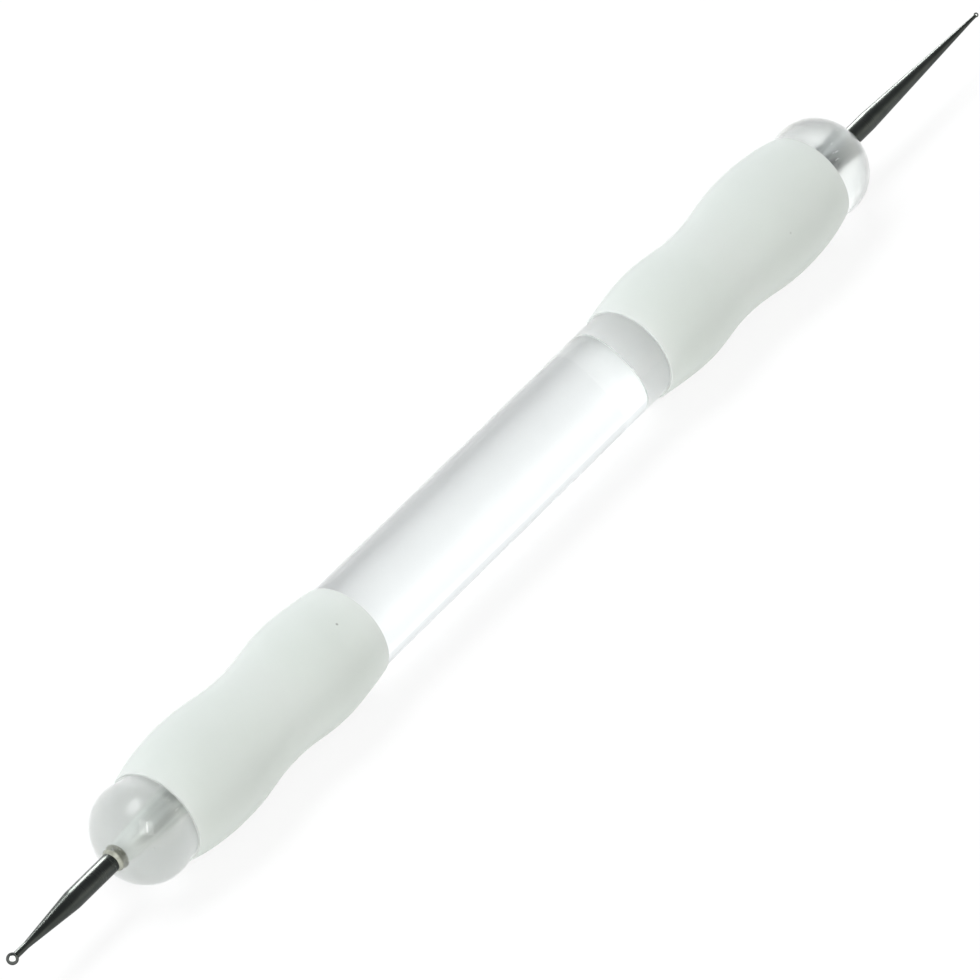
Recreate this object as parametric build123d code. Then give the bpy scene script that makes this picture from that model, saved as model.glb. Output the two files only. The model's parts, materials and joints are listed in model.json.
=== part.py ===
from build123d import *
from math import radians, sqrt, tan
import os

# Double-ended embossing stylus: a clear handle with a rounded bulb at each end,
# two frosted soft grips, and a steel needle with a ball tip in each bulb.
# Millimetres. The long axis is X, the large ball points to -X and the fine ball to +X.
# The origin is on the axis in the middle of the handle, and +Z is up as it lies on a table.

# Handle, as long as this from nose to nose before its ends are drilled
handle_length = 120.0
rod_diameter = 10.0
bulb_diameter = 10.5
bulb_nose_length = 4.6
bulb_flare_length = 2.2

# Hole for a needle in each end of the handle
shank_seat_depth = 18.0
shank_end_gap = 0.4
bore_clearance = 0.02
glue_pocket_diameter = 2.4
glue_pocket_depth = 1.2
glue_bead_rise = 0.25
drill_point_angle = 118.0
cut_overrun = 1.0

# Soft grips, the same moulding on both ends
grip_length = 30.0
grip_inner_wall = 0.25
grip_outer_wall = 0.20
grip_rim_round = 0.12
small_crest_diameter = 11.8
small_crest_from_inner = 6.4
waist_diameter = 10.7
waist_from_inner = 13.7
large_crest_diameter = 12.24
large_crest_from_inner = 22.8

# Needles
shank_diameter = 2.0
shank_chamfer = 0.2

large_straight_length = 6.25
large_neck_diameter = 0.70
large_neck_length = 1.55
large_ball_diameter = 1.2
large_reach = 15.45

fine_straight_length = 3.8
fine_neck_diameter = 0.38
fine_neck_length = 0.5
fine_ball_diameter = 0.5
fine_reach = 22.7

# How far a curve keeps the slope of its end, as a share of its run
crest_pull_share = 0.45
inner_run_out_pull_share = 0.30
outer_run_out_pull_share = 0.55
flare_pull_share = 0.50

# Places worked out from the sizes above
half_length = handle_length / 2
rod_radius = rod_diameter / 2
bulb_radius = bulb_diameter / 2
bulb_centre = half_length - bulb_nose_length
flare_start = bulb_centre - bulb_flare_length
shank_radius = shank_diameter / 2
bore_radius = shank_radius + bore_clearance
pocket_radius = glue_pocket_diameter / 2
pocket_floor = half_length - glue_pocket_depth
shank_inner_end = half_length - shank_seat_depth
grip_outer_end = flare_start
grip_inner_end = grip_outer_end - grip_length


def s_curve(start, end, pull_share):
    """Curve between two points that runs level, along X, at both of them."""
    (x0, r0), (x1, r1) = start, end
    pull = (x1 - x0) * pull_share
    return Bezier((x0, r0), (x0 + pull, r0), (x1 - pull, r1), (x1, r1))


def run_out(crest, end, pull_share):
    """Curve from the level top of a crest down to an open end, where it still slopes."""
    (x0, r0), (x1, _) = crest, end
    return Bezier(crest, (x0 + (x1 - x0) * pull_share, r0), end)


def turned(outline):
    """Solid turned about the long axis from a closed outline of lines and curves."""
    return revolve(make_face(outline), axis=Axis.X)


def at_large_end(solid):
    """The same solid on the other end of the stylus."""
    return mirror(solid, about=Plane.YZ)


def half_handle():
    """Half of the handle: straight rod, flare up to the bulb and the bulb's blunt nose."""
    rod_middle = (0, rod_radius)
    rod_end = (flare_start, rod_radius)
    widest = (bulb_centre, bulb_radius)
    nose = EllipticalCenterArc((bulb_centre, 0), bulb_nose_length, bulb_radius, arc_size=90)
    return turned([
        Line((0, 0), rod_middle),
        Line(rod_middle, rod_end),
        s_curve(rod_end, widest, flare_pull_share),
        nose,
        Line((half_length, 0), (0, 0)),
    ])


def needle_hole():
    """Drilled hole with its drill point, opened out at the mouth into the glue pocket."""
    bore_end = shank_inner_end - shank_end_gap
    point_length = bore_radius / tan(radians(drill_point_angle / 2))
    outside = half_length + cut_overrun
    return turned(Polyline(
        (bore_end - point_length, 0),
        (bore_end, bore_radius),
        (pocket_floor, bore_radius),
        (pocket_floor, pocket_radius),
        (outside, pocket_radius),
        (outside, 0),
        close=True,
    ))


def make_handle():
    """Clear one-piece handle with a needle hole in the nose of each bulb."""
    half = half_handle() - needle_hole()
    return half + at_large_end(half)


def make_grip():
    """Soft sleeve with two swells and a waist, closed round the rod up to the bulb."""
    inner_rim = (grip_inner_end, rod_radius + grip_inner_wall)
    outer_rim = (grip_outer_end, rod_radius + grip_outer_wall)
    small_crest = (grip_inner_end + small_crest_from_inner, small_crest_diameter / 2)
    waist = (grip_inner_end + waist_from_inner, waist_diameter / 2)
    large_crest = (grip_inner_end + large_crest_from_inner, large_crest_diameter / 2)
    inner_bore = (grip_inner_end, rod_radius)
    outer_bore = (grip_outer_end, rod_radius)
    sleeve = turned([
        Line(inner_bore, inner_rim),
        run_out(small_crest, inner_rim, inner_run_out_pull_share),
        s_curve(small_crest, waist, crest_pull_share),
        s_curve(waist, large_crest, crest_pull_share),
        run_out(large_crest, outer_rim, outer_run_out_pull_share),
        Line(outer_rim, outer_bore),
        Line(outer_bore, inner_bore),
    ])
    ends = sleeve.faces().filter_by(GeomType.PLANE)
    rims = [end.outer_wire().edges()[0] for end in ends]
    return fillet(rims, grip_rim_round)


def make_glue():
    """Glue that fills the pocket round the shank and climbs it in a small bead."""
    dome_at_pocket = bulb_centre + bulb_nose_length * sqrt(1 - (pocket_radius / bulb_radius) ** 2)
    return turned(Polyline(
        (pocket_floor, shank_radius),
        (pocket_floor, pocket_radius),
        (dome_at_pocket, pocket_radius),
        (half_length + glue_bead_rise, shank_radius),
        close=True,
    ))


def make_ball(diameter, reach):
    """Ball tip with its centre a given reach beyond the end of the handle."""
    return Pos(half_length + reach, 0, 0) * Sphere(diameter / 2)


def make_shank(straight_length, neck_diameter, neck_length, ball_diameter, reach):
    """Needle: seated shank, taper, thin neck and a cup that the ball is brazed into."""
    ball_centre = half_length + reach
    neck_start = ball_centre - ball_diameter / 2 - neck_length
    neck_radius = neck_diameter / 2
    blank = turned(Polyline(
        (shank_inner_end, 0),
        (shank_inner_end, shank_radius - shank_chamfer),
        (shank_inner_end + shank_chamfer, shank_radius),
        (half_length + straight_length, shank_radius),
        (neck_start, neck_radius),
        (ball_centre, neck_radius),
        (ball_centre, 0),
        close=True,
    ))
    return blank - make_ball(ball_diameter, reach)


fine_shank = make_shank(
    fine_straight_length, fine_neck_diameter, fine_neck_length, fine_ball_diameter, fine_reach
)
large_shank = make_shank(
    large_straight_length, large_neck_diameter, large_neck_length, large_ball_diameter, large_reach
)
grip = make_grip()
glue = make_glue()

pieces = {
    "handle": make_handle(),
    "large_end_grip": at_large_end(grip),
    "fine_end_grip": grip,
    "large_shank": at_large_end(large_shank),
    "fine_shank": fine_shank,
    "large_ball": at_large_end(make_ball(large_ball_diameter, large_reach)),
    "fine_ball": make_ball(fine_ball_diameter, fine_reach),
    "large_end_glue": at_large_end(glue),
    "fine_end_glue": glue,
}

os.makedirs("parts", exist_ok=True)
for name, piece in pieces.items():
    export_step(piece, f"parts/{name}.step")
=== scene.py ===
"""Looks of the double-ended embossing stylus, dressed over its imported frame.

Every piece is turned about the long axis X from its own outline by one Geometry Nodes tree, stands
for a solid of the frame, and gets a finish made of shader nodes on object coordinates. The classes
hold their sizes in millimetres and their angles in degrees, and a mesh gets metres. The large ball
points to -X, the fine ball to +X, and +Z is up.
"""

import json
import logging
from dataclasses import dataclass, field
from enum import Enum
from math import cos, pi, radians, sin, sqrt, tan
from typing import Any

import bpy
from mathutils import Matrix, Vector

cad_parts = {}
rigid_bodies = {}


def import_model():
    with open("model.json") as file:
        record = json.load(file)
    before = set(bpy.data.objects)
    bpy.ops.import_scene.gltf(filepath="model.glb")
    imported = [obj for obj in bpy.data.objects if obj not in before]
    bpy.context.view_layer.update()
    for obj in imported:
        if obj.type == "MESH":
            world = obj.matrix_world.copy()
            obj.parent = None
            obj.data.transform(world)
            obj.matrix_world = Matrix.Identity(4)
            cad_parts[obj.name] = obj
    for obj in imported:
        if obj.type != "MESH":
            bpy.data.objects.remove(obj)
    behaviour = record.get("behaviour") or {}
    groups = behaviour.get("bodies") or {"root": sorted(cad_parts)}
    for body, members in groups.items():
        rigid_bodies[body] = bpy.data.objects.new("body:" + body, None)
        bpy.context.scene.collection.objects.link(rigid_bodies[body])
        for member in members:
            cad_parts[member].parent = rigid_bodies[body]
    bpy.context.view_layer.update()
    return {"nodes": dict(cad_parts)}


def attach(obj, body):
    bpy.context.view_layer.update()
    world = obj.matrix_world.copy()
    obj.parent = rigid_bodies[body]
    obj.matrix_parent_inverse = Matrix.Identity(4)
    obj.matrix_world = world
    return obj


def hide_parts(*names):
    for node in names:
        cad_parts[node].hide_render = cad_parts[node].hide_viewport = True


LOG = logging.getLogger("stylus")
MM = 0.001
BODY = "root"
LIGHT_BOUNCES = 16

# Closer than this in millimetres, two points of an outline are the same
SAME_PLACE = 1e-6

# Numbers of the colour sockets of a Mix node
MIX_FIRST, MIX_SECOND, MIX_RESULT = 6, 7, 2

Point = tuple[float, float]
Range = tuple[float, float]
Triple = tuple[float, float, float]
Colour = Triple


class End(Enum):
    """The two ends of the stylus, as the sign of X that they point to."""

    LARGE = -1
    FINE = 1


class Slot(Enum):
    """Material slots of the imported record."""

    CLEAR_ACRYLIC = "clear_acrylic"
    FROSTED_SILICONE = "frosted_silicone"
    NEEDLE_STEEL = "needle_steel"
    BALL_STEEL = "ball_steel"
    CURED_GLUE = "cured_glue"


def rgba(colour: Any) -> Any:
    """Give a plain colour its alpha, and leave a socket as it is.

    Args:
        colour: A colour of three numbers, or a socket.

    Returns:
        A colour of four numbers, or the same socket.
    """
    return colour if isinstance(colour, bpy.types.NodeSocket) else (*colour, 1.0)


class NodeGraph:
    """Shader or geometry node tree with short calls that add nodes and join them."""

    def __init__(self, tree: bpy.types.NodeTree) -> None:
        """Empty the tree.

        Args:
            tree: The tree to build in.
        """
        self.tree = tree
        tree.nodes.clear()

    def add(
        self,
        kind: str,
        inputs: dict[str | int, Any] | None = None,
        options: dict[str, Any] | None = None,
    ) -> bpy.types.Node:
        """Add a node, set its options and feed its inputs.

        Args:
            kind: Blender's type name of the node.
            inputs: Values or output sockets, by the input's name or number.
            options: Properties of the node, set before its inputs.

        Returns:
            The new node.
        """
        node = self.tree.nodes.new(kind)
        for name, value in (options or {}).items():
            setattr(node, name, value)
        for key, value in (inputs or {}).items():
            if isinstance(value, bpy.types.NodeSocket):
                self.tree.links.new(value, node.inputs[key])
            else:
                node.inputs[key].default_value = value
        return node

    def math(self, operation: str, *values: Any) -> bpy.types.NodeSocket:
        """Join values by one arithmetic step.

        Args:
            operation: Name of the operation.
            *values: Numbers or sockets, in order.

        Returns:
            The socket with the result.
        """
        node = self.add("ShaderNodeMath", dict(enumerate(values)), {"operation": operation})
        return node.outputs[0]

    def vector(
        self, operation: str, *values: Any, output: str = "Vector"
    ) -> bpy.types.NodeSocket:
        """Join vectors by one step of vector arithmetic.

        Args:
            operation: Name of the operation.
            *values: Vectors or sockets, in order.
            output: Name of the output that is wanted.

        Returns:
            The socket with the result.
        """
        inputs = dict(enumerate(values))
        return self.add("ShaderNodeVectorMath", inputs, {"operation": operation}).outputs[output]

    def ramp(
        self, value: Any, levels: Range, start: float = 0.0, end: float = 1.0
    ) -> bpy.types.NodeSocket:
        """Turn one range of a value smoothly into another.

        Args:
            value: Socket to read.
            levels: Values where the result is start and where it is end.
            start: Result at the first level and below.
            end: Result at the second level and above.

        Returns:
            The socket with the result.
        """
        low, high = levels
        inputs = {"Value": value, "From Min": low, "From Max": high, "To Min": start, "To Max": end}
        node = self.add("ShaderNodeMapRange", inputs, {"interpolation_type": "SMOOTHSTEP"})
        return node.outputs["Result"]

    def blend(self, factor: Any, first: Any, second: Any) -> bpy.types.NodeSocket:
        """Mix two colours.

        Args:
            factor: Share of the second colour, as a number or a socket.
            first: Colour or socket at 0.
            second: Colour or socket at 1.

        Returns:
            The socket with the mixed colour.
        """
        inputs = {0: factor, MIX_FIRST: rgba(first), MIX_SECOND: rgba(second)}
        return self.add("ShaderNodeMix", inputs, {"data_type": "RGBA"}).outputs[MIX_RESULT]

    def noise(
        self, place: Any, scale: float, detail: float = 2.0, roughness: float = 0.5
    ) -> bpy.types.NodeSocket:
        """Add a noise pattern.

        Args:
            place: Socket with the coordinates.
            scale: Cycles per unit of the coordinates.
            detail: Number of finer layers.
            roughness: Strength of the finer layers.

        Returns:
            The socket with the pattern, about 0 to 1.
        """
        inputs = {"Vector": place, "Scale": scale, "Detail": detail, "Roughness": roughness}
        return self.add("ShaderNodeTexNoise", inputs).outputs[0]

    def object_place(self) -> bpy.types.NodeSocket:
        """Return the socket with the place on the object, in metres."""
        return self.add("ShaderNodeTexCoord").outputs["Object"]

    def distance_out(self, place: Any) -> bpy.types.NodeSocket:
        """Return the distance along X from the middle of the handle, the same for both ends."""
        return self.math("ABSOLUTE", self.add("ShaderNodeSeparateXYZ", {0: place}).outputs["X"])

    def stretched(self, place: Any, factors: Triple) -> bpy.types.NodeSocket:
        """Return the coordinates multiplied by three factors, so that a pattern stretches."""
        return self.vector("MULTIPLY", place, factors)

    def drawn_out(self, place: Any, factor: float) -> bpy.types.NodeSocket:
        """Return coordinates in which a pattern is drawn out along X by a factor below 1."""
        return self.stretched(place, (factor, 1.0, 1.0))

    def bump(self, height: Any, depth: float) -> bpy.types.NodeSocket:
        """Add a bump.

        Args:
            height: Socket with a pattern from 0 to 1.
            depth: Depth of the full pattern in millimetres.

        Returns:
            The socket with the bumped normal.
        """
        inputs = {"Height": height, "Distance": depth * MM, "Strength": 1.0}
        return self.add("ShaderNodeBump", inputs).outputs["Normal"]


@dataclass(frozen=True)
class Finish:
    """A finish of the record, painted by nodes."""

    slot: Slot

    def material(self) -> bpy.types.Material:
        """Make the material of this finish.

        Returns:
            The painted material.
        """
        material = bpy.data.materials.new(f"{self.slot.value}_finish")
        material.use_nodes = True
        self.paint(NodeGraph(material.node_tree))
        return material

    def paint(self, graph: NodeGraph) -> None:
        """Build the nodes of the finish; each kind of finish has its own."""
        raise NotImplementedError

    def surface(self, graph: NodeGraph, inputs: dict[str, Any]) -> None:
        """Close the tree with one principled surface.

        Args:
            graph: The tree that is being built.
            inputs: Inputs of the surface by name.
        """
        shader = graph.add("ShaderNodeBsdfPrincipled", inputs)
        graph.add("ShaderNodeOutputMaterial", {"Surface": shader.outputs[0]})


@dataclass(frozen=True)
class ClearAcrylic(Finish):
    """Polished clear plastic, faintly wavy and marked by handling; the bulbs are hazy inside."""

    slot: Slot = Slot.CLEAR_ACRYLIC
    tint: Colour = (0.98, 0.995, 0.993)
    cloud_tint: Colour = (0.99, 0.998, 0.997)
    cloud_scale: float = 90.0
    index: float = 1.49
    wave_scale: float = 260.0
    wave_draw: float = 0.25
    wave_depth: float = 0.004
    mark_scale: float = 2400.0
    mark_draw: float = 0.15
    mark_levels: Range = (0.55, 0.8)
    haze: float = 0.035
    bulb_haze: float = 0.25
    bulb_tint: Colour = (0.985, 1.0, 0.985)
    bulb_polish: float = 0.02
    bulb_start: float = 52.5
    bulb_blend: float = 1.0

    def paint(self, graph: NodeGraph) -> None:
        """Build a clear body with drawn-out waves, a cloudy tint and a little haze.

        Args:
            graph: The empty tree of the material.
        """
        place = graph.object_place()
        waves = graph.noise(graph.drawn_out(place, self.wave_draw), self.wave_scale, detail=1.0)
        marks = graph.noise(
            graph.drawn_out(place, self.mark_draw), self.mark_scale, detail=3.0, roughness=0.6
        )
        bulb_levels = (self.bulb_start * MM, (self.bulb_start + self.bulb_blend) * MM)
        bulb = graph.ramp(graph.distance_out(place), bulb_levels)
        haze = graph.ramp(marks, self.mark_levels, end=self.haze)
        clear = graph.blend(graph.noise(place, self.cloud_scale), self.tint, self.cloud_tint)
        self.surface(graph, {
            "Base Color": graph.blend(bulb, clear, self.bulb_tint),
            "Roughness": graph.math("MULTIPLY_ADD", bulb, self.bulb_haze, haze),
            "IOR": self.index,
            "Transmission Weight": 1.0,
            "Coat Weight": bulb,
            "Coat Roughness": self.bulb_polish,
            "Normal": graph.bump(waves, self.wave_depth),
        })


@dataclass(frozen=True)
class FrostedSilicone(Finish):
    """Milky soft rubber with a satin frost, faint clouds and a speck or two of dust."""

    slot: Slot = Slot.FROSTED_SILICONE
    milk: Colour = (0.562, 0.592, 0.566)
    cloud: Colour = (0.585, 0.612, 0.59)
    cloud_scale: float = 140.0
    # Near-white bore colour: painted light that brightens the sleeve's inside where it shows
    # through the clear rod
    bore_painted_light: Colour = (0.985, 0.995, 0.985)
    bore_light_radii: Range = (5.0, 5.05)
    scatter_depth: float = 1.5
    index: float = 1.41
    shine: float = 0.35
    frost_scale: float = 9000.0
    frost_levels: Range = (0.3, 0.7)
    frost_roughness: Range = (0.55, 0.72)
    frost_depth: float = 0.004
    dust: Colour = (0.16, 0.165, 0.15)
    dust_cover: float = 0.85
    specks: tuple[Triple, ...] = ((-26.96, -1.85, 5.45), (43.5, -4.83, 3.35))
    speck_radius: float = 0.22

    def paint(self, graph: NodeGraph) -> None:
        """Build a translucent body with fine frost on its surface and a near-white bore that is
        painted light, brightening the inside seen through the clear rod.

        Args:
            graph: The empty tree of the material.
        """
        place = graph.object_place()
        clouds = graph.noise(place, self.cloud_scale, detail=3.0)
        frost = graph.noise(place, self.frost_scale, roughness=0.7)
        radius = graph.vector("LENGTH", graph.stretched(place, (0.0, 1.0, 1.0)), output="Value")
        inner, outer = self.bore_light_radii
        bore_light_fade = graph.ramp(radius, (inner * MM, outer * MM))
        colour = graph.blend(clouds, self.milk, self.cloud)
        # Painted light: the bore fades from near white to the milky colour over the first twentieth
        # of a millimetre
        colour = graph.blend(bore_light_fade, self.bore_painted_light, colour)
        for speck in self.specks:
            centre = tuple(side * MM for side in speck)
            gap = graph.vector("DISTANCE", place, centre, output="Value")
            cover = graph.ramp(gap, (0.0, self.speck_radius * MM), self.dust_cover, 0.0)
            colour = graph.blend(cover, colour, self.dust)
        self.surface(graph, {
            "Base Color": colour,
            "Roughness": graph.ramp(frost, self.frost_levels, *self.frost_roughness),
            "IOR": self.index,
            "Specular IOR Level": self.shine,
            "Subsurface Weight": 1.0,
            "Subsurface Radius": (1.0, 1.0, 1.0),
            "Subsurface Scale": self.scatter_depth * MM,
            "Normal": graph.bump(frost, self.frost_depth),
        })


@dataclass(frozen=True)
class GroundSteel(Finish):
    """Dark polished steel with the fine rings that turning leaves round it."""

    slot: Slot = Slot.NEEDLE_STEEL
    dark: Colour = (0.052, 0.058, 0.054)
    light: Colour = (0.072, 0.078, 0.073)
    edge: Colour = (0.75, 0.75, 0.75)
    stain_scale: float = 900.0
    stain_draw: float = 0.4
    stain_levels: Range = (0.35, 0.65)
    ring_scale: float = 5200.0
    ring_spread: float = 0.02
    ring_levels: Range = (0.3, 0.7)
    ring_roughness: Range = (0.27, 0.31)
    ring_depth: float = 0.0001

    def paint(self, graph: NodeGraph) -> None:
        """Build the metal with rings across the axis and stains along it.

        Args:
            graph: The empty tree of the material.
        """
        place = graph.object_place()
        ring_place = graph.stretched(place, (1.0, self.ring_spread, self.ring_spread))
        rings = graph.noise(ring_place, self.ring_scale, detail=3.0, roughness=0.6)
        stains = graph.noise(graph.drawn_out(place, self.stain_draw), self.stain_scale, detail=3.0)
        self.surface(graph, {
            "Base Color": graph.blend(
                graph.ramp(stains, self.stain_levels), self.dark, self.light
            ),
            "Metallic": 1.0,
            "Roughness": graph.ramp(rings, self.ring_levels, *self.ring_roughness),
            "Specular Tint": rgba(self.edge),
            "Normal": graph.bump(rings, self.ring_depth),
        })


@dataclass(frozen=True)
class GluedSteel(Finish):
    """Steel in its hole, under a smeared film of glue that leaves streaks along it."""

    slot: Slot = Slot.NEEDLE_STEEL
    film: Colour = (0.80, 0.83, 0.81)
    streak: Colour = (0.48, 0.50, 0.485)
    film_ends: Range = (55.6, 57.6)
    streaks_at_mouth: float = 0.15
    streak_scale: float = 1900.0
    streak_draw: float = 0.06
    streak_levels: Range = (0.42, 0.6)
    metal: float = 0.3
    roughness: float = 0.5
    film_depth: float = 0.004

    def paint(self, graph: NodeGraph) -> None:
        """Build the film, thick at the mouth of the hole and streaked deeper in.

        Args:
            graph: The empty tree of the material.
        """
        place = graph.object_place()
        streak_place = graph.drawn_out(place, self.streak_draw)
        streaks = graph.noise(streak_place, self.streak_scale, roughness=0.6)
        inner, outer = self.film_ends
        depth = graph.ramp(
            graph.distance_out(place), (inner * MM, outer * MM), 1.0, self.streaks_at_mouth
        )
        bare = graph.math("MULTIPLY", graph.ramp(streaks, self.streak_levels), depth)
        self.surface(graph, {
            "Base Color": graph.blend(bare, self.film, self.streak),
            "Metallic": self.metal,
            "Roughness": self.roughness,
            "Normal": graph.bump(streaks, self.film_depth),
        })


@dataclass(frozen=True)
class CuredGlue(Finish):
    """Beige-grey hard glue, a little glossy and uneven."""

    slot: Slot = Slot.CURED_GLUE
    pale: Colour = (0.42, 0.425, 0.36)
    deep: Colour = (0.26, 0.265, 0.22)
    index: float = 1.5
    mottle_scale: float = 1400.0
    mottle_levels: Range = (0.35, 0.65)
    mottle_depth: float = 0.03
    gloss_levels: Range = (0.3, 0.7)
    gloss_roughness: Range = (0.25, 0.5)

    def paint(self, graph: NodeGraph) -> None:
        """Build the mottled glue with an uneven surface.

        Args:
            graph: The empty tree of the material.
        """
        mottle = graph.noise(graph.object_place(), self.mottle_scale, detail=4.0, roughness=0.6)
        self.surface(graph, {
            "Base Color": graph.blend(graph.ramp(mottle, self.mottle_levels), self.pale, self.deep),
            "Roughness": graph.ramp(mottle, self.gloss_levels, *self.gloss_roughness),
            "IOR": self.index,
            "Normal": graph.bump(mottle, self.mottle_depth),
        })


NEEDLE_FINISH = GroundSteel()
BALL_FINISH = GroundSteel(
    slot=Slot.BALL_STEEL,
    dark=(0.10, 0.105, 0.10),
    light=(0.13, 0.135, 0.13),
    edge=(0.30, 0.30, 0.30),
    ring_roughness=(0.10, 0.16),
)
SEAT_FINISHES = {
    End.LARGE: GluedSteel(),
    End.FINE: GluedSteel(film=(0.54, 0.56, 0.56), streak=(0.13, 0.137, 0.137)),
}


@dataclass
class Outline:
    """Half section of a turned piece, a chain of points (x, radius) in millimetres."""

    points: list[Point] = field(default_factory=list)
    hold: float = 0.02
    curve_steps: int = 24

    def start(self, x: float, radius: float) -> "Outline":
        """Set the first point and return the outline."""
        self.points = [(x, radius)]
        return self

    def line(self, x: float, radius: float) -> "Outline":
        """Add a straight line, with a point close to each end that holds its shading straight.

        Args:
            x: Place of the line's end on the axis.
            radius: Radius at the line's end.

        Returns:
            The outline itself.
        """
        x0, r0 = self.points[-1]
        length = sqrt((x - x0) ** 2 + (radius - r0) ** 2)
        if length > 4 * self.hold:
            near = self.hold / length
            for share in (near, 1 - near):
                self.points.append((x0 + (x - x0) * share, r0 + (radius - r0) * share))
        self.points.append((x, radius))
        return self

    def curve(self, *controls: Point) -> "Outline":
        """Add a Bezier curve from the last point.

        Args:
            *controls: Control points after the first; the last one is the curve's end.

        Returns:
            The outline itself.
        """
        hull = [self.points[-1], *controls]
        for step in range(1, self.curve_steps + 1):
            share = step / self.curve_steps
            level = list(hull)
            while len(level) > 1:
                level = [
                    (a[0] + (b[0] - a[0]) * share, a[1] + (b[1] - a[1]) * share)
                    for a, b in zip(level, level[1:])
                ]
            self.points.append(level[0])
        return self

    def s_curve(self, x: float, radius: float, pull_share: float) -> "Outline":
        """Add a curve that runs level, along X, at both of its ends.

        Args:
            x: Place of the end on the axis.
            radius: Radius at the end.
            pull_share: How far it keeps its end slope, as a share of its run.

        Returns:
            The outline itself.
        """
        x0, r0 = self.points[-1]
        pull = (x - x0) * pull_share
        return self.curve((x0 + pull, r0), (x - pull, radius), (x, radius))

    def arc(self, centre: Point, radius: float, sweep: Range, steps: int) -> "Outline":
        """Add an arc of a circle.

        Args:
            centre: Centre of the circle.
            radius: Radius of the arc itself.
            sweep: First and last angle, counted from +X towards larger radius.
            steps: Number of pieces that the arc is divided into.

        Returns:
            The outline itself.
        """
        start, end = sweep
        for step in range(steps + 1):
            angle = radians(start + (end - start) * step / steps)
            point = (centre[0] + radius * cos(angle), max(centre[1] + radius * sin(angle), 0.0))
            if not self.points or self._is_apart(point):
                self.points.append(point)
        return self

    def _is_apart(self, point: Point) -> bool:
        """Tell whether a point is some way off the last one."""
        return max(abs(a - b) for a, b in zip(point, self.points[-1])) > SAME_PLACE

    def turned_round(self) -> "Outline":
        """Return the same outline for the other end of the stylus."""
        return Outline([(-x, radius) for x, radius in self.points], self.hold, self.curve_steps)

    def facing_out(self) -> list[Point]:
        """Order the points so that the turned faces point outwards.

        Returns:
            The points, with the first one repeated at the end where the outline is a closed ring.
        """
        points = list(self.points)
        if points[0][1] > 0:
            points.append(points[0])
        area = sum(a[0] * b[1] - b[0] * a[1] for a, b in zip(points, points[1:] + points[:1]))
        return points[::-1] if area > 0 else points


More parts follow.
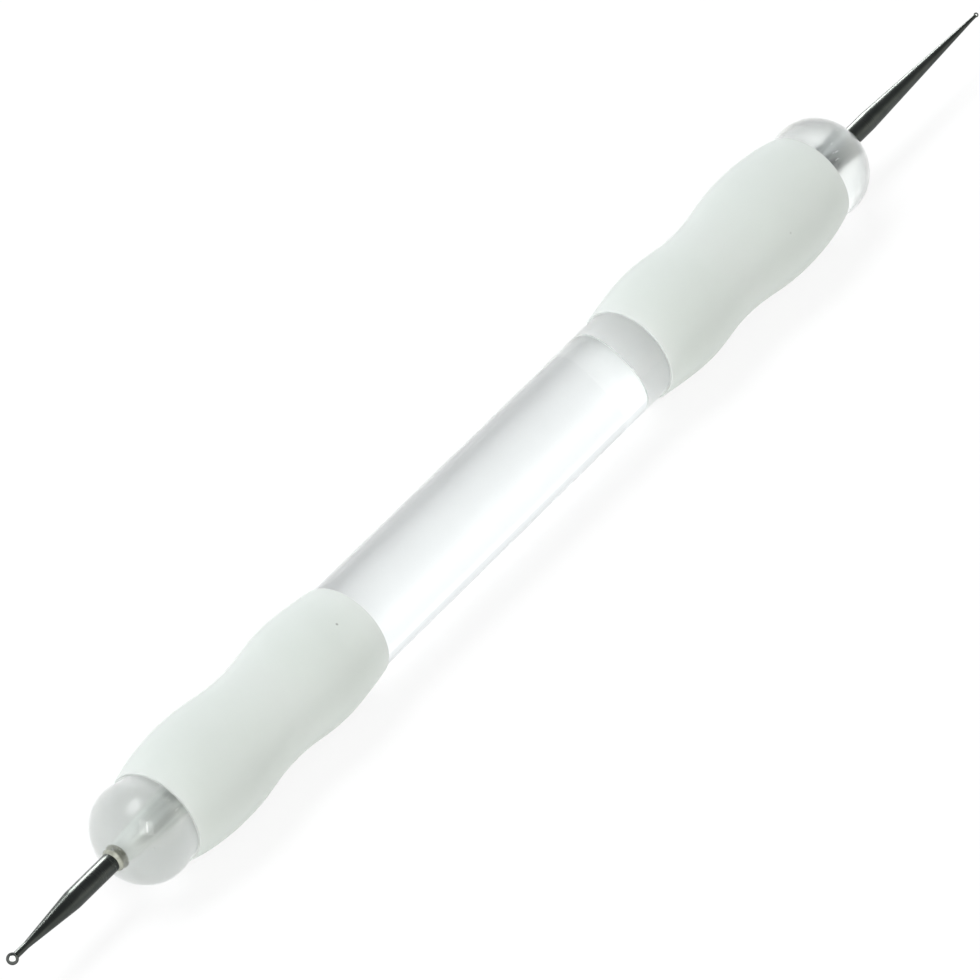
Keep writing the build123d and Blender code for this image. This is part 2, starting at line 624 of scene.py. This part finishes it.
class TurningTree:
    """Geometry Nodes tree that turns an outline about X into a closed, smooth mesh."""

    MERGE_GAP = 0.0001 * MM
    SHARP_ANGLE = radians(35)
    LUMP_SCALE = 1.5 / MM
    LUMP_SEED = 4.0

    def __init__(self) -> None:
        """Build the tree with its named inputs."""
        self.tree = bpy.data.node_groups.new("turn_outline", "GeometryNodeTree")
        self.sockets: dict[str, str] = {}
        for name, kind in (
            ("Outline", "NodeSocketGeometry"),
            ("Sides", "NodeSocketInt"),
            ("Merge Gap", "NodeSocketFloat"),
            ("Sharp Angle", "NodeSocketFloat"),
            ("Lump Height", "NodeSocketFloat"),
            ("Lump Scale", "NodeSocketFloat"),
            ("Seed", "NodeSocketFloat"),
            ("Finish", "NodeSocketMaterial"),
        ):
            socket = self.tree.interface.new_socket(name, in_out="INPUT", socket_type=kind)
            self.sockets[name] = socket.identifier
        self.tree.interface.new_socket(
            "Piece", in_out="OUTPUT", socket_type="NodeSocketGeometry"
        )
        graph = NodeGraph(self.tree)
        given = graph.add("NodeGroupInput").outputs
        closed = self._bend(graph, given)
        lumpy = self._raise_lumps(graph, given, closed)
        self._dress(graph, given, lumpy)

    def _bend(
        self, graph: NodeGraph, given: bpy.types.NodeOutputs
    ) -> bpy.types.NodeSocket:
        """Lay a grid of outline points by sides, bend it round the axis and close it.

        Args:
            graph: The tree that is being built.
            given: Sockets of the tree's inputs.

        Returns:
            The socket with the closed mesh.
        """
        counted = graph.add("GeometryNodeAttributeDomainSize", {"Geometry": given["Outline"]})
        rows = graph.math("ADD", given["Sides"], 1.0)
        grid = graph.add("GeometryNodeMeshGrid", {
            "Vertices X": counted.outputs["Point Count"],
            "Vertices Y": rows,
        })
        index = graph.add("GeometryNodeInputIndex").outputs[0]
        along = graph.math("FLOOR", graph.math("DIVIDE", graph.math("ADD", index, 0.5), rows))
        around = graph.math("SUBTRACT", index, graph.math("MULTIPLY", along, rows))
        turn = graph.math("MULTIPLY", graph.math("DIVIDE", around, given["Sides"]), 2 * pi)
        sampled = graph.add("GeometryNodeSampleIndex", {
            "Geometry": given["Outline"],
            "Value": graph.add("GeometryNodeInputPosition").outputs[0],
            "Index": along,
        }, {"data_type": "FLOAT_VECTOR", "domain": "POINT"})
        place = graph.add("ShaderNodeSeparateXYZ", {0: sampled.outputs[0]}).outputs
        bent = graph.add("ShaderNodeCombineXYZ", {
            0: place["X"],
            1: graph.math("MULTIPLY", place["Z"], graph.math("SINE", turn)),
            2: graph.math("MULTIPLY", place["Z"], graph.math("COSINE", turn)),
        })
        round_mesh = graph.add("GeometryNodeSetPosition", {
            "Geometry": grid.outputs["Mesh"],
            "Position": bent.outputs[0],
        })
        return graph.add("GeometryNodeMergeByDistance", {
            "Geometry": round_mesh.outputs[0],
            "Distance": given["Merge Gap"],
        }).outputs[0]

    def _raise_lumps(
        self, graph: NodeGraph, given: bpy.types.NodeOutputs, mesh: bpy.types.NodeSocket
    ) -> bpy.types.NodeSocket:
        """Move the surface in and out along its normals by a seeded noise.

        Args:
            graph: The tree that is being built.
            given: Sockets of the tree's inputs.
            mesh: Socket with the closed mesh.

        Returns:
            The socket with the lumpy mesh.
        """
        noise = graph.add("ShaderNodeTexNoise", {
            "Vector": graph.add("GeometryNodeInputPosition").outputs[0],
            "W": given["Seed"],
            "Scale": given["Lump Scale"],
            "Detail": 1.0,
        }, {"noise_dimensions": "4D"})
        level = graph.math("SUBTRACT", noise.outputs[0], 0.5)
        offset = graph.add("ShaderNodeVectorMath", {
            0: graph.add("GeometryNodeInputNormal").outputs[0],
            "Scale": graph.math("MULTIPLY", level, given["Lump Height"]),
        }, {"operation": "SCALE"})
        lumpy = graph.add("GeometryNodeSetPosition", {
            "Geometry": mesh,
            "Offset": offset.outputs[0],
        })
        return lumpy.outputs[0]

    def _dress(
        self, graph: NodeGraph, given: bpy.types.NodeOutputs, mesh: bpy.types.NodeSocket
    ) -> None:
        """Shade the mesh smooth up to its sharp edges, give it its finish and close the tree.

        Args:
            graph: The tree that is being built.
            given: Sockets of the tree's inputs.
            mesh: Socket with the mesh.
        """
        smooth = graph.add("GeometryNodeSetShadeSmooth", {"Geometry": mesh, "Shade Smooth": True})
        sharp = graph.add("FunctionNodeCompare", {
            "A": graph.add("GeometryNodeInputMeshEdgeAngle").outputs["Unsigned Angle"],
            "B": given["Sharp Angle"],
        }, {"data_type": "FLOAT", "operation": "GREATER_THAN"})
        creased = graph.add("GeometryNodeSetShadeSmooth", {
            "Geometry": smooth.outputs[0],
            "Selection": sharp.outputs[0],
            "Shade Smooth": False,
        }, {"domain": "EDGE"})
        whole = graph.add("GeometryNodeRealizeInstances", {"Geometry": creased.outputs[0]})
        dressed = graph.add("GeometryNodeSetMaterial", {
            "Geometry": whole.outputs[0],
            "Material": given["Finish"],
        })
        graph.add("NodeGroupOutput", {"Piece": dressed.outputs[0]})

    def turn(
        self, name: str, outline: Outline, sides: int, finish: Finish, lump_height: float = 0.0
    ) -> bpy.types.Object:
        """Turn one outline into a plain mesh object.

        Args:
            name: Name of the piece.
            outline: Half section in millimetres.
            sides: Number of faces round the axis.
            finish: Finish of the piece.
            lump_height: Height in millimetres of random lumps on its surface.

        Returns:
            The finished object, at the origin and with no modifier.
        """
        points = [(x * MM, 0.0, radius * MM) for x, radius in outline.facing_out()]
        mesh = bpy.data.meshes.new(f"{name}_outline")
        mesh.from_pydata(points, [(i, i + 1) for i in range(len(points) - 1)], [])
        draft = bpy.data.objects.new(f"{name}_outline", mesh)
        bpy.context.scene.collection.objects.link(draft)
        modifier = draft.modifiers.new("turn", "NODES")
        modifier.node_group = self.tree
        for socket, value in (
            ("Sides", sides),
            ("Merge Gap", self.MERGE_GAP),
            ("Sharp Angle", self.SHARP_ANGLE),
            ("Lump Height", lump_height * MM),
            ("Lump Scale", self.LUMP_SCALE),
            ("Seed", self.LUMP_SEED),
            ("Finish", finish.material()),
        ):
            modifier[self.sockets[socket]] = value
        evaluated = draft.evaluated_get(bpy.context.evaluated_depsgraph_get())
        piece = bpy.data.objects.new(name, bpy.data.meshes.new_from_object(evaluated))
        piece.data.name = name
        bpy.context.scene.collection.objects.link(piece)
        bpy.data.objects.remove(draft)
        bpy.data.meshes.remove(mesh)
        return piece


def stand_for(piece: bpy.types.Object, node: str, slot: Slot) -> None:
    """Put a piece in the place of its solid, on the body, and log its material slot.

    Args:
        piece: The finished piece.
        node: Name of the solid in the frame.
        slot: Material slot of the record.
    """
    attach(piece, BODY)
    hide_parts(node)
    triangles = sum(len(face.vertices) - 2 for face in piece.data.polygons)
    LOG.info("%s: %d triangles for node %s, finish %s", piece.name, triangles, node, slot.value)


@dataclass
class ClearHandle:
    """The clear rod with a bulb at each end and a drilled needle hole in each bulb.

    The bore is drawn a little smaller than the shank, so that no air shows between them.
    """

    length: float = 120.0
    rod_diameter: float = 10.0
    bulb_diameter: float = 10.5
    nose_length: float = 4.6
    flare_length: float = 2.2
    flare_pull_share: float = 0.50
    seat_depth: float = 18.0
    seat_gap: float = 0.4
    bore_diameter: float = 1.98
    drill_point_angle: float = 118.0
    pocket_diameter: float = 2.4
    pocket_depth: float = 1.2
    pocket_round: float = 0.05
    pocket_steps: int = 6
    nose_steps: int = 64
    flare_steps: int = 40
    sides: int = 288

    @property
    def widest(self) -> float:
        """Place on the axis where the bulb is widest."""
        return self.length / 2 - self.nose_length

    def nose_reach(self, radius: float) -> float:
        """Return how far along the axis the bulb's nose reaches at a radius."""
        share = radius / (self.bulb_diameter / 2)
        return self.widest + self.nose_length * sqrt(max(1 - share**2, 0.0))

    def hole_outline(self) -> Outline:
        """Draw the hole from the axis, over its drill point, bore and glue pocket, to its rim.

        Returns:
            The outline of the hole in the fine end.
        """
        half, bore, pocket = self.length / 2, self.bore_diameter / 2, self.pocket_diameter / 2
        bore_end = half - self.seat_depth - self.seat_gap
        point = bore / tan(radians(self.drill_point_angle / 2))
        rim = pocket + self.pocket_round
        rim_start = self.nose_reach(rim) - self.pocket_round
        shape = Outline().start(bore_end - point, 0.0).line(bore_end, bore)
        shape.line(half - self.pocket_depth, bore).line(half - self.pocket_depth, pocket)
        shape.line(rim_start, pocket)
        return shape.arc((rim_start, rim), self.pocket_round, (-90.0, 0.0), self.pocket_steps)

    def outline(self) -> Outline:
        """Draw the half section from the end of one hole over the outside to the other.

        Returns:
            The whole outline, from the axis to the axis.
        """
        bulb = self.bulb_diameter / 2
        rim = self.pocket_diameter / 2 + self.pocket_round
        right = Outline(self.hole_outline().points, curve_steps=self.flare_steps)
        for step in range(1, self.nose_steps + 1):
            radius = rim + (bulb - rim) * sin(pi / 2 * step / self.nose_steps)
            right.points.append((self.nose_reach(radius), radius))
        flare_start = self.widest - self.flare_length
        right.s_curve(flare_start, self.rod_diameter / 2, self.flare_pull_share)
        return Outline(right.turned_round().points + right.points[::-1])

    def build(self, tree: TurningTree, finish: Finish) -> None:
        """Turn the handle and put it in its solid's place.

        Args:
            tree: The tree that turns outlines.
            finish: Finish of the clear body.
        """
        piece = tree.turn("clear_handle", self.outline(), self.sides, finish)
        stand_for(piece, "handle", finish.slot)


@dataclass
class SoftGrip:
    """Frosted sleeve with two swells and a waist, the same moulding at both ends.

    The bore is drawn a little smaller than the rod, so that no air shows between them.
    """

    end: End
    inner_end: float = 23.2
    length: float = 30.0
    bore_diameter: float = 9.98
    inner_wall: float = 0.25
    outer_wall: float = 0.20
    rim_round: float = 0.12
    rim_steps: int = 6
    inner_rim_sweep: Range = (180.0, 100.0)
    outer_rim_sweep: Range = (60.0, 0.0)
    outer_rim_lead: float = 0.072
    outer_rim_rise: float = 0.03
    rod_diameter: float = 10.0
    small_crest_diameter: float = 11.8
    small_crest_from_inner: float = 6.4
    waist_diameter: float = 10.7
    waist_from_inner: float = 13.7
    large_crest_diameter: float = 12.24
    large_crest_from_inner: float = 22.8
    crest_pull_share: float = 0.45
    inner_run_out_share: float = 0.30
    outer_run_out_share: float = 0.55
    curve_steps: int = 32
    sides: int = 224

    def outline(self) -> Outline:
        """Draw the sleeve's section as a closed ring, for the fine end.

        Returns:
            The outline of the sleeve.
        """
        start, stop = self.inner_end, self.inner_end + self.length
        rod, bore = self.rod_diameter / 2, self.bore_diameter / 2
        inner_rim, outer_rim = rod + self.inner_wall, rod + self.outer_wall
        small = (start + self.small_crest_from_inner, self.small_crest_diameter / 2)
        large = (start + self.large_crest_from_inner, self.large_crest_diameter / 2)
        corner = self.rim_round

        shape = Outline(curve_steps=self.curve_steps).start(start, bore)
        shape.line(start, inner_rim - corner)
        inner_corner = (start + corner, inner_rim - corner)
        shape.arc(inner_corner, corner, self.inner_rim_sweep, self.rim_steps)
        knee = small[0] + (start - small[0]) * self.inner_run_out_share
        shape.curve((knee, small[1]), small)
        waist = start + self.waist_from_inner
        shape.s_curve(waist, self.waist_diameter / 2, self.crest_pull_share)
        shape.s_curve(*large, self.crest_pull_share)
        knee = large[0] + (stop - large[0]) * self.outer_run_out_share
        outer_lip = (stop - self.outer_rim_lead, outer_rim + self.outer_rim_rise)
        shape.curve((knee, large[1]), outer_lip)
        outer_corner = (stop - corner, outer_rim - corner)
        shape.arc(outer_corner, corner, self.outer_rim_sweep, self.rim_steps)
        shape.line(stop, bore).line(start, bore)
        shape.points.pop()
        return shape

    def build(self, tree: TurningTree, finish: Finish) -> None:
        """Turn the sleeve and put it in its solid's place.

        Args:
            tree: The tree that turns outlines.
            finish: Finish of the sleeve.
        """
        side = self.end.name.lower()
        shape = self.outline() if self.end is End.FINE else self.outline().turned_round()
        piece = tree.turn(f"soft_grip_{side}", shape, self.sides, finish)
        stand_for(piece, f"{side}_end_grip", finish.slot)


@dataclass
class Needle:
    """Shank with its taper and neck, the ball brazed on it and the glue that holds it."""

    end: End
    straight_length: float
    neck_diameter: float
    neck_length: float
    ball_diameter: float
    reach: float
    half_handle: float = 60.0
    seat_depth: float = 18.0
    shank_diameter: float = 2.0
    shank_chamfer: float = 0.2
    mouth: float = 59.9
    shoulder_round: float = 0.15
    shoulder_steps: int = 6
    cup_steps: int = 12
    shank_sides: int = 128
    ball_steps: int = 64
    ball_sides: int = 96
    glue_bite: float = 0.01
    glue_rise: float = 0.25
    glue_crown: Point = (0.12, 0.02)
    glue_foot: Point = (0.05, 0.06)
    glue_steps: int = 10
    glue_lumps: float = 0.12

    @property
    def ball_centre(self) -> float:
        """Distance of the ball's centre from the middle of the handle."""
        return self.half_handle + self.reach

    def seat_outline(self) -> Outline:
        """Draw the part of the shank that is glued in the handle.

        Returns:
            The outline, from the axis to the axis.
        """
        radius, inner_end = self.shank_diameter / 2, self.half_handle - self.seat_depth
        shape = Outline().start(inner_end, 0.0).line(inner_end, radius - self.shank_chamfer)
        shape.line(inner_end + self.shank_chamfer, radius)
        return shape.line(self.mouth, radius).line(self.mouth, 0.0)

    def shank_outline(self) -> Outline:
        """Draw the bare shank from the mouth of its hole to the cup that holds the ball.

        Returns:
            The outline, from the axis to the axis.
        """
        radius, neck = self.shank_diameter / 2, self.neck_diameter / 2
        ball = self.ball_diameter / 2
        shoulder = self.half_handle + self.straight_length
        neck_start = self.ball_centre - ball - self.neck_length
        slope = (neck - radius) / (neck_start - shoulder)
        knee = self.shoulder_round
        cup = sqrt(ball**2 - neck**2)
        shape = Outline(curve_steps=self.shoulder_steps).start(self.mouth, 0.0)
        shape.line(self.mouth, radius).line(shoulder - knee, radius)
        shape.curve((shoulder, radius), (shoulder + knee, radius + slope * knee))
        shape.line(neck_start - knee, neck - slope * knee)
        shape.curve((neck_start, neck), (neck_start + knee, neck))
        shape.line(self.ball_centre - cup, neck)
        half_turn = 180.0
        brim = half_turn - half_turn / pi * Vector((cup, neck)).angle(Vector((1, 0)))
        return shape.arc((self.ball_centre, 0.0), ball, (brim, half_turn), self.cup_steps)

    def ball_outline(self) -> Outline:
        """Draw the ball as a half circle from pole to pole."""
        centre, radius = (self.ball_centre, 0.0), self.ball_diameter / 2
        return Outline().arc(centre, radius, (180.0, 0.0), self.ball_steps)

    def glue_outline(self, handle: ClearHandle) -> Outline:
        """Draw the ring of glue in the mouth of the hole, which bites into what it holds.

        Args:
            handle: The handle whose hole it fills.

        Returns:
            The outline of the ring.
        """
        floor = self.half_handle - handle.pocket_depth - self.glue_bite
        pocket = handle.pocket_diameter / 2 + self.glue_bite
        shank = self.shank_diameter / 2 - self.glue_bite
        brim, top = handle.nose_reach(pocket), self.half_handle + self.glue_rise
        crown = (brim + self.glue_crown[0], pocket - self.glue_crown[1])
        foot = (top - self.glue_foot[0], shank + self.glue_foot[1])
        shape = Outline(curve_steps=self.glue_steps).start(floor, shank)
        shape.line(floor, pocket).line(brim, pocket)
        return shape.curve(crown, foot, (top, shank))

    def build(self, tree: TurningTree, handle: ClearHandle) -> None:
        """Turn both parts of the shank, the ball and the glue, and put them in place.

        Args:
            tree: The tree that turns outlines.
            handle: The handle that the needle sits in.
        """
        side = self.end.name.lower()
        seat, shank, ball = self.seat_outline(), self.shank_outline(), self.ball_outline()
        glue = self.glue_outline(handle)
        plans = (
            ("seated_shank", "shank", seat, self.shank_sides, SEAT_FINISHES[self.end], 0.0),
            ("needle_shank", "shank", shank, self.shank_sides, NEEDLE_FINISH, 0.0),
            ("ball_tip", "ball", ball, self.ball_sides, BALL_FINISH, 0.0),
            ("glue_ring", "end_glue", glue, self.shank_sides, CuredGlue(), self.glue_lumps),
        )
        for name, node, shape, sides, finish, lumps in plans:
            outline = shape if self.end is End.FINE else shape.turned_round()
            piece = tree.turn(f"{name}_{side}", outline, sides, finish, lumps)
            stand_for(piece, f"{side}_{node}", finish.slot)


@dataclass(frozen=True)
class SoftBox:
    """A flat studio light that faces the stylus, on all of it or on some pieces only.

    One that isn't mirrored lights the surfaces but leaves no bright spot in their gloss.
    """

    name: str
    towards: Triple
    distance: float
    width_angle: float
    height_angle: float
    radiance: float
    tint: Colour = (1.0, 1.0, 0.99)
    long_axis: Triple = (0.574, 0.418, 0.704)
    only_on: str = ""
    mirrored: bool = True

    def build(self) -> None:
        """Make the light, aimed at the origin."""
        width = 2 * self.distance * tan(radians(self.width_angle / 2))
        height = 2 * self.distance * tan(radians(self.height_angle / 2))
        lamp = bpy.data.lights.new(self.name, "AREA")
        lamp.shape = "RECTANGLE"
        lamp.size, lamp.size_y = width, height
        lamp.energy = self.radiance * pi * width * height
        lamp.color = self.tint
        out = Vector(self.towards).normalized()
        wide = Vector(self.long_axis)
        wide = (wide - wide.dot(out) * out).normalized()
        turn = Matrix((wide, out.cross(wide), out)).transposed()
        light = bpy.data.objects.new(self.name, lamp)
        light.matrix_world = Matrix.Translation(out * self.distance) @ turn.to_4x4()
        light.visible_camera = False
        light.visible_glossy = self.mirrored
        bpy.context.scene.collection.objects.link(light)
        if self.only_on:
            self.link_to(light)
        LOG.info("%s: radiance %.1f at %.2f m", self.name, self.radiance, self.distance)

    def link_to(self, light: bpy.types.Object) -> None:
        """Let the light fall only on the pieces whose names start as it says.

        Args:
            light: The light's object.
        """
        lit = bpy.data.collections.new(f"{self.name}_lights")
        for piece in bpy.context.scene.collection.objects:
            if piece.name.startswith(self.only_on):
                lit.objects.link(piece)
        light.light_linking.receiver_collection = lit
        light.light_linking.blocker_collection = lit


@dataclass(frozen=True)
class Studio:
    """Pale floor, pale dome and the soft boxes.

    The shares say how much of the floor is plain white for rays from the camera, from metal and
    through glass; the rest of it is lit paper, which keeps the shadow.
    """

    floor_height: float = -6.12
    floor_size: float = 30.0
    floor_colour: Colour = (0.93, 0.935, 0.935)
    grain_colour: Colour = (0.90, 0.905, 0.905)
    grain_scale: float = 400.0
    camera_share: float = 0.85
    metal_share: float = 0.6
    glass_share: float = 0.1
    horizon_back: Colour = (0.98, 1.0, 1.02)
    horizon_front: Colour = (1.25, 1.24, 1.17)
    horizon_turn: Range = (-0.6, 0.6)
    ceiling: Colour = (0.32, 0.33, 0.34)
    ceiling_rise: Range = (0.15, 0.75)
    boxes: tuple[SoftBox, ...] = (
        SoftBox(
            "key_box", towards=(-0.15, 0.338, 0.929), distance=0.9, width_angle=45.0,
            height_angle=18.0, radiance=9.3, tint=(0.98, 1.0, 1.0), long_axis=(1.0, 0.0, 0.0),
            mirrored=False,
        ),
        SoftBox(
            "front_box", towards=(-0.569, -0.415, 0.710), distance=1.1, width_angle=30.0,
            height_angle=30.0, radiance=2.0,
        ),
        SoftBox(
            "front_strip", towards=(-0.560, -0.430, 0.720), distance=0.9, width_angle=22.0,
            height_angle=3.0, radiance=9.0, tint=(1.0, 1.0, 1.0),
        ),
        SoftBox(
            "edge_box", towards=(0.66, 0.706, -0.257), distance=0.7, width_angle=100.0,
            height_angle=16.0, radiance=25.0, long_axis=(0.0, 0.342, 0.940),
            only_on="needle_shank",
        ),
        SoftBox(
            "ball_box", towards=(-0.569, -0.415, 0.710), distance=0.4, width_angle=110.0,
            height_angle=110.0, radiance=9.0, only_on="ball_tip",
        ),
    )

    def floor(self) -> None:
        """Lay the floor."""
        half, level = self.floor_size / 2, self.floor_height * MM
        mesh = bpy.data.meshes.new("studio_floor")
        corners = [(x * half, y * half, level) for x, y in ((-1, -1), (1, -1), (1, 1), (-1, 1))]
        mesh.from_pydata(corners, [], [(0, 1, 2, 3)])
        mesh.materials.append(self.paper())
        floor = bpy.data.objects.new("studio_floor", mesh)
        bpy.context.scene.collection.objects.link(floor)

    def paper(self) -> bpy.types.Material:
        """Make the floor's material, lit paper mixed with plain white.

        Returns:
            The material.
        """
        material = bpy.data.materials.new("studio_floor")
        material.use_nodes = True
        graph = NodeGraph(material.node_tree)
        path = graph.add("ShaderNodeLightPath").outputs
        grain = graph.noise(graph.object_place(), self.grain_scale)
        colour = graph.blend(grain, self.floor_colour, self.grain_colour)
        sheet = graph.add("ShaderNodeBsdfDiffuse", {"Color": colour})
        white = graph.add("ShaderNodeEmission", {"Color": (1.0, 1.0, 1.0, 1.0), "Strength": 1.0})
        through = path["Is Transmission Ray"]
        # Light that passes glass counts as glossy too, so it is taken out here
        off_metal = graph.math("SUBTRACT", 1.0, through)
        off_metal = graph.math("MULTIPLY", path["Is Glossy Ray"], off_metal)
        share = graph.math("MULTIPLY", path["Is Camera Ray"], self.camera_share)
        for kind, kind_share in ((off_metal, self.metal_share), (through, self.glass_share)):
            share = graph.math("MAXIMUM", share, graph.math("MULTIPLY", kind, kind_share))
        mixed = {0: share, 1: sheet.outputs[0], 2: white.outputs[0]}
        shader = graph.add("ShaderNodeMixShader", mixed)
        graph.add("ShaderNodeOutputMaterial", {"Surface": shader.outputs[0]})
        return material

    def dome(self) -> None:
        """Fill the world with a dome that is white at the horizon and greyer overhead."""
        world = bpy.data.worlds.new("studio_dome")
        world.use_nodes = True
        graph = NodeGraph(world.node_tree)
        ray = graph.add("ShaderNodeTexCoord").outputs["Generated"]
        direction = graph.add("ShaderNodeSeparateXYZ", {0: ray}).outputs
        side = graph.ramp(direction["Y"], self.horizon_turn)
        horizon = graph.blend(side, self.horizon_front, self.horizon_back)
        rise = graph.ramp(direction["Z"], self.ceiling_rise)
        colour = graph.blend(rise, horizon, self.ceiling)
        sky = graph.add("ShaderNodeBackground", {"Color": colour, "Strength": 1.0})
        graph.add("ShaderNodeOutputWorld", {"Surface": sky.outputs[0]})
        bpy.context.scene.world = world

    def build(self) -> None:
        """Set the floor, the dome and the lights."""
        self.floor()
        self.dome()
        for box in self.boxes:
            box.build()


@dataclass(frozen=True)
class PhotoCamera:
    """Long lens above the large end, at the photograph's viewing angle."""

    towards: Triple = (-0.5702, -0.4133, 0.710)
    distance: float = 1.348
    lens: float = 515.0
    sensor: float = 36.0
    clip: Range = (0.01, 100.0)
    aim_right: float = 0.170
    aim_up: float = 0.266

    def build(self) -> None:
        """Make the camera and set it as the scene's."""
        out = Vector(self.towards).normalized()
        right = Vector((0, 0, 1)).cross(out).normalized()
        up = out.cross(right)
        data = bpy.data.cameras.new("photo_camera")
        data.sensor_width = self.sensor
        data.lens = self.lens
        data.clip_start, data.clip_end = self.clip
        camera = bpy.data.objects.new("photo_camera", data)
        aim = right * self.aim_right * MM + up * self.aim_up * MM
        turn = Matrix((right, up, out)).transposed()
        camera.matrix_world = Matrix.Translation(aim + out * self.distance) @ turn.to_4x4()
        bpy.context.scene.collection.objects.link(camera)
        bpy.context.scene.camera = camera


def allow_bounces(scene: bpy.types.Scene) -> None:
    """Let light cross the clear body and the soft sleeves often enough to fill them.

    Args:
        scene: The scene to set.
    """
    for kind in ("max", "diffuse", "glossy", "transmission"):
        setattr(scene.cycles, f"{kind}_bounces", LIGHT_BOUNCES)


def main() -> None:
    """Load the frame, build every sub-assembly in order and light it."""
    logging.basicConfig(level=logging.INFO, format="%(message)s")
    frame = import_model()
    LOG.info("frame with %d nodes", len(frame["nodes"]))

    tree = TurningTree()
    handle = ClearHandle()
    handle.build(tree, ClearAcrylic())
    for end in End:
        SoftGrip(end).build(tree, FrostedSilicone())
    Needle(
        End.LARGE, straight_length=6.25, neck_diameter=0.70, neck_length=1.55,
        ball_diameter=1.2, reach=15.45,
    ).build(tree, handle)
    Needle(
        End.FINE, straight_length=3.8, neck_diameter=0.38, neck_length=0.5,
        ball_diameter=0.5, reach=22.7,
    ).build(tree, handle)

    Studio().build()
    PhotoCamera().build()
    bpy.context.scene.view_settings.view_transform = "Standard"
    allow_bounces(bpy.context.scene)


if __name__ == "__main__":
    main()
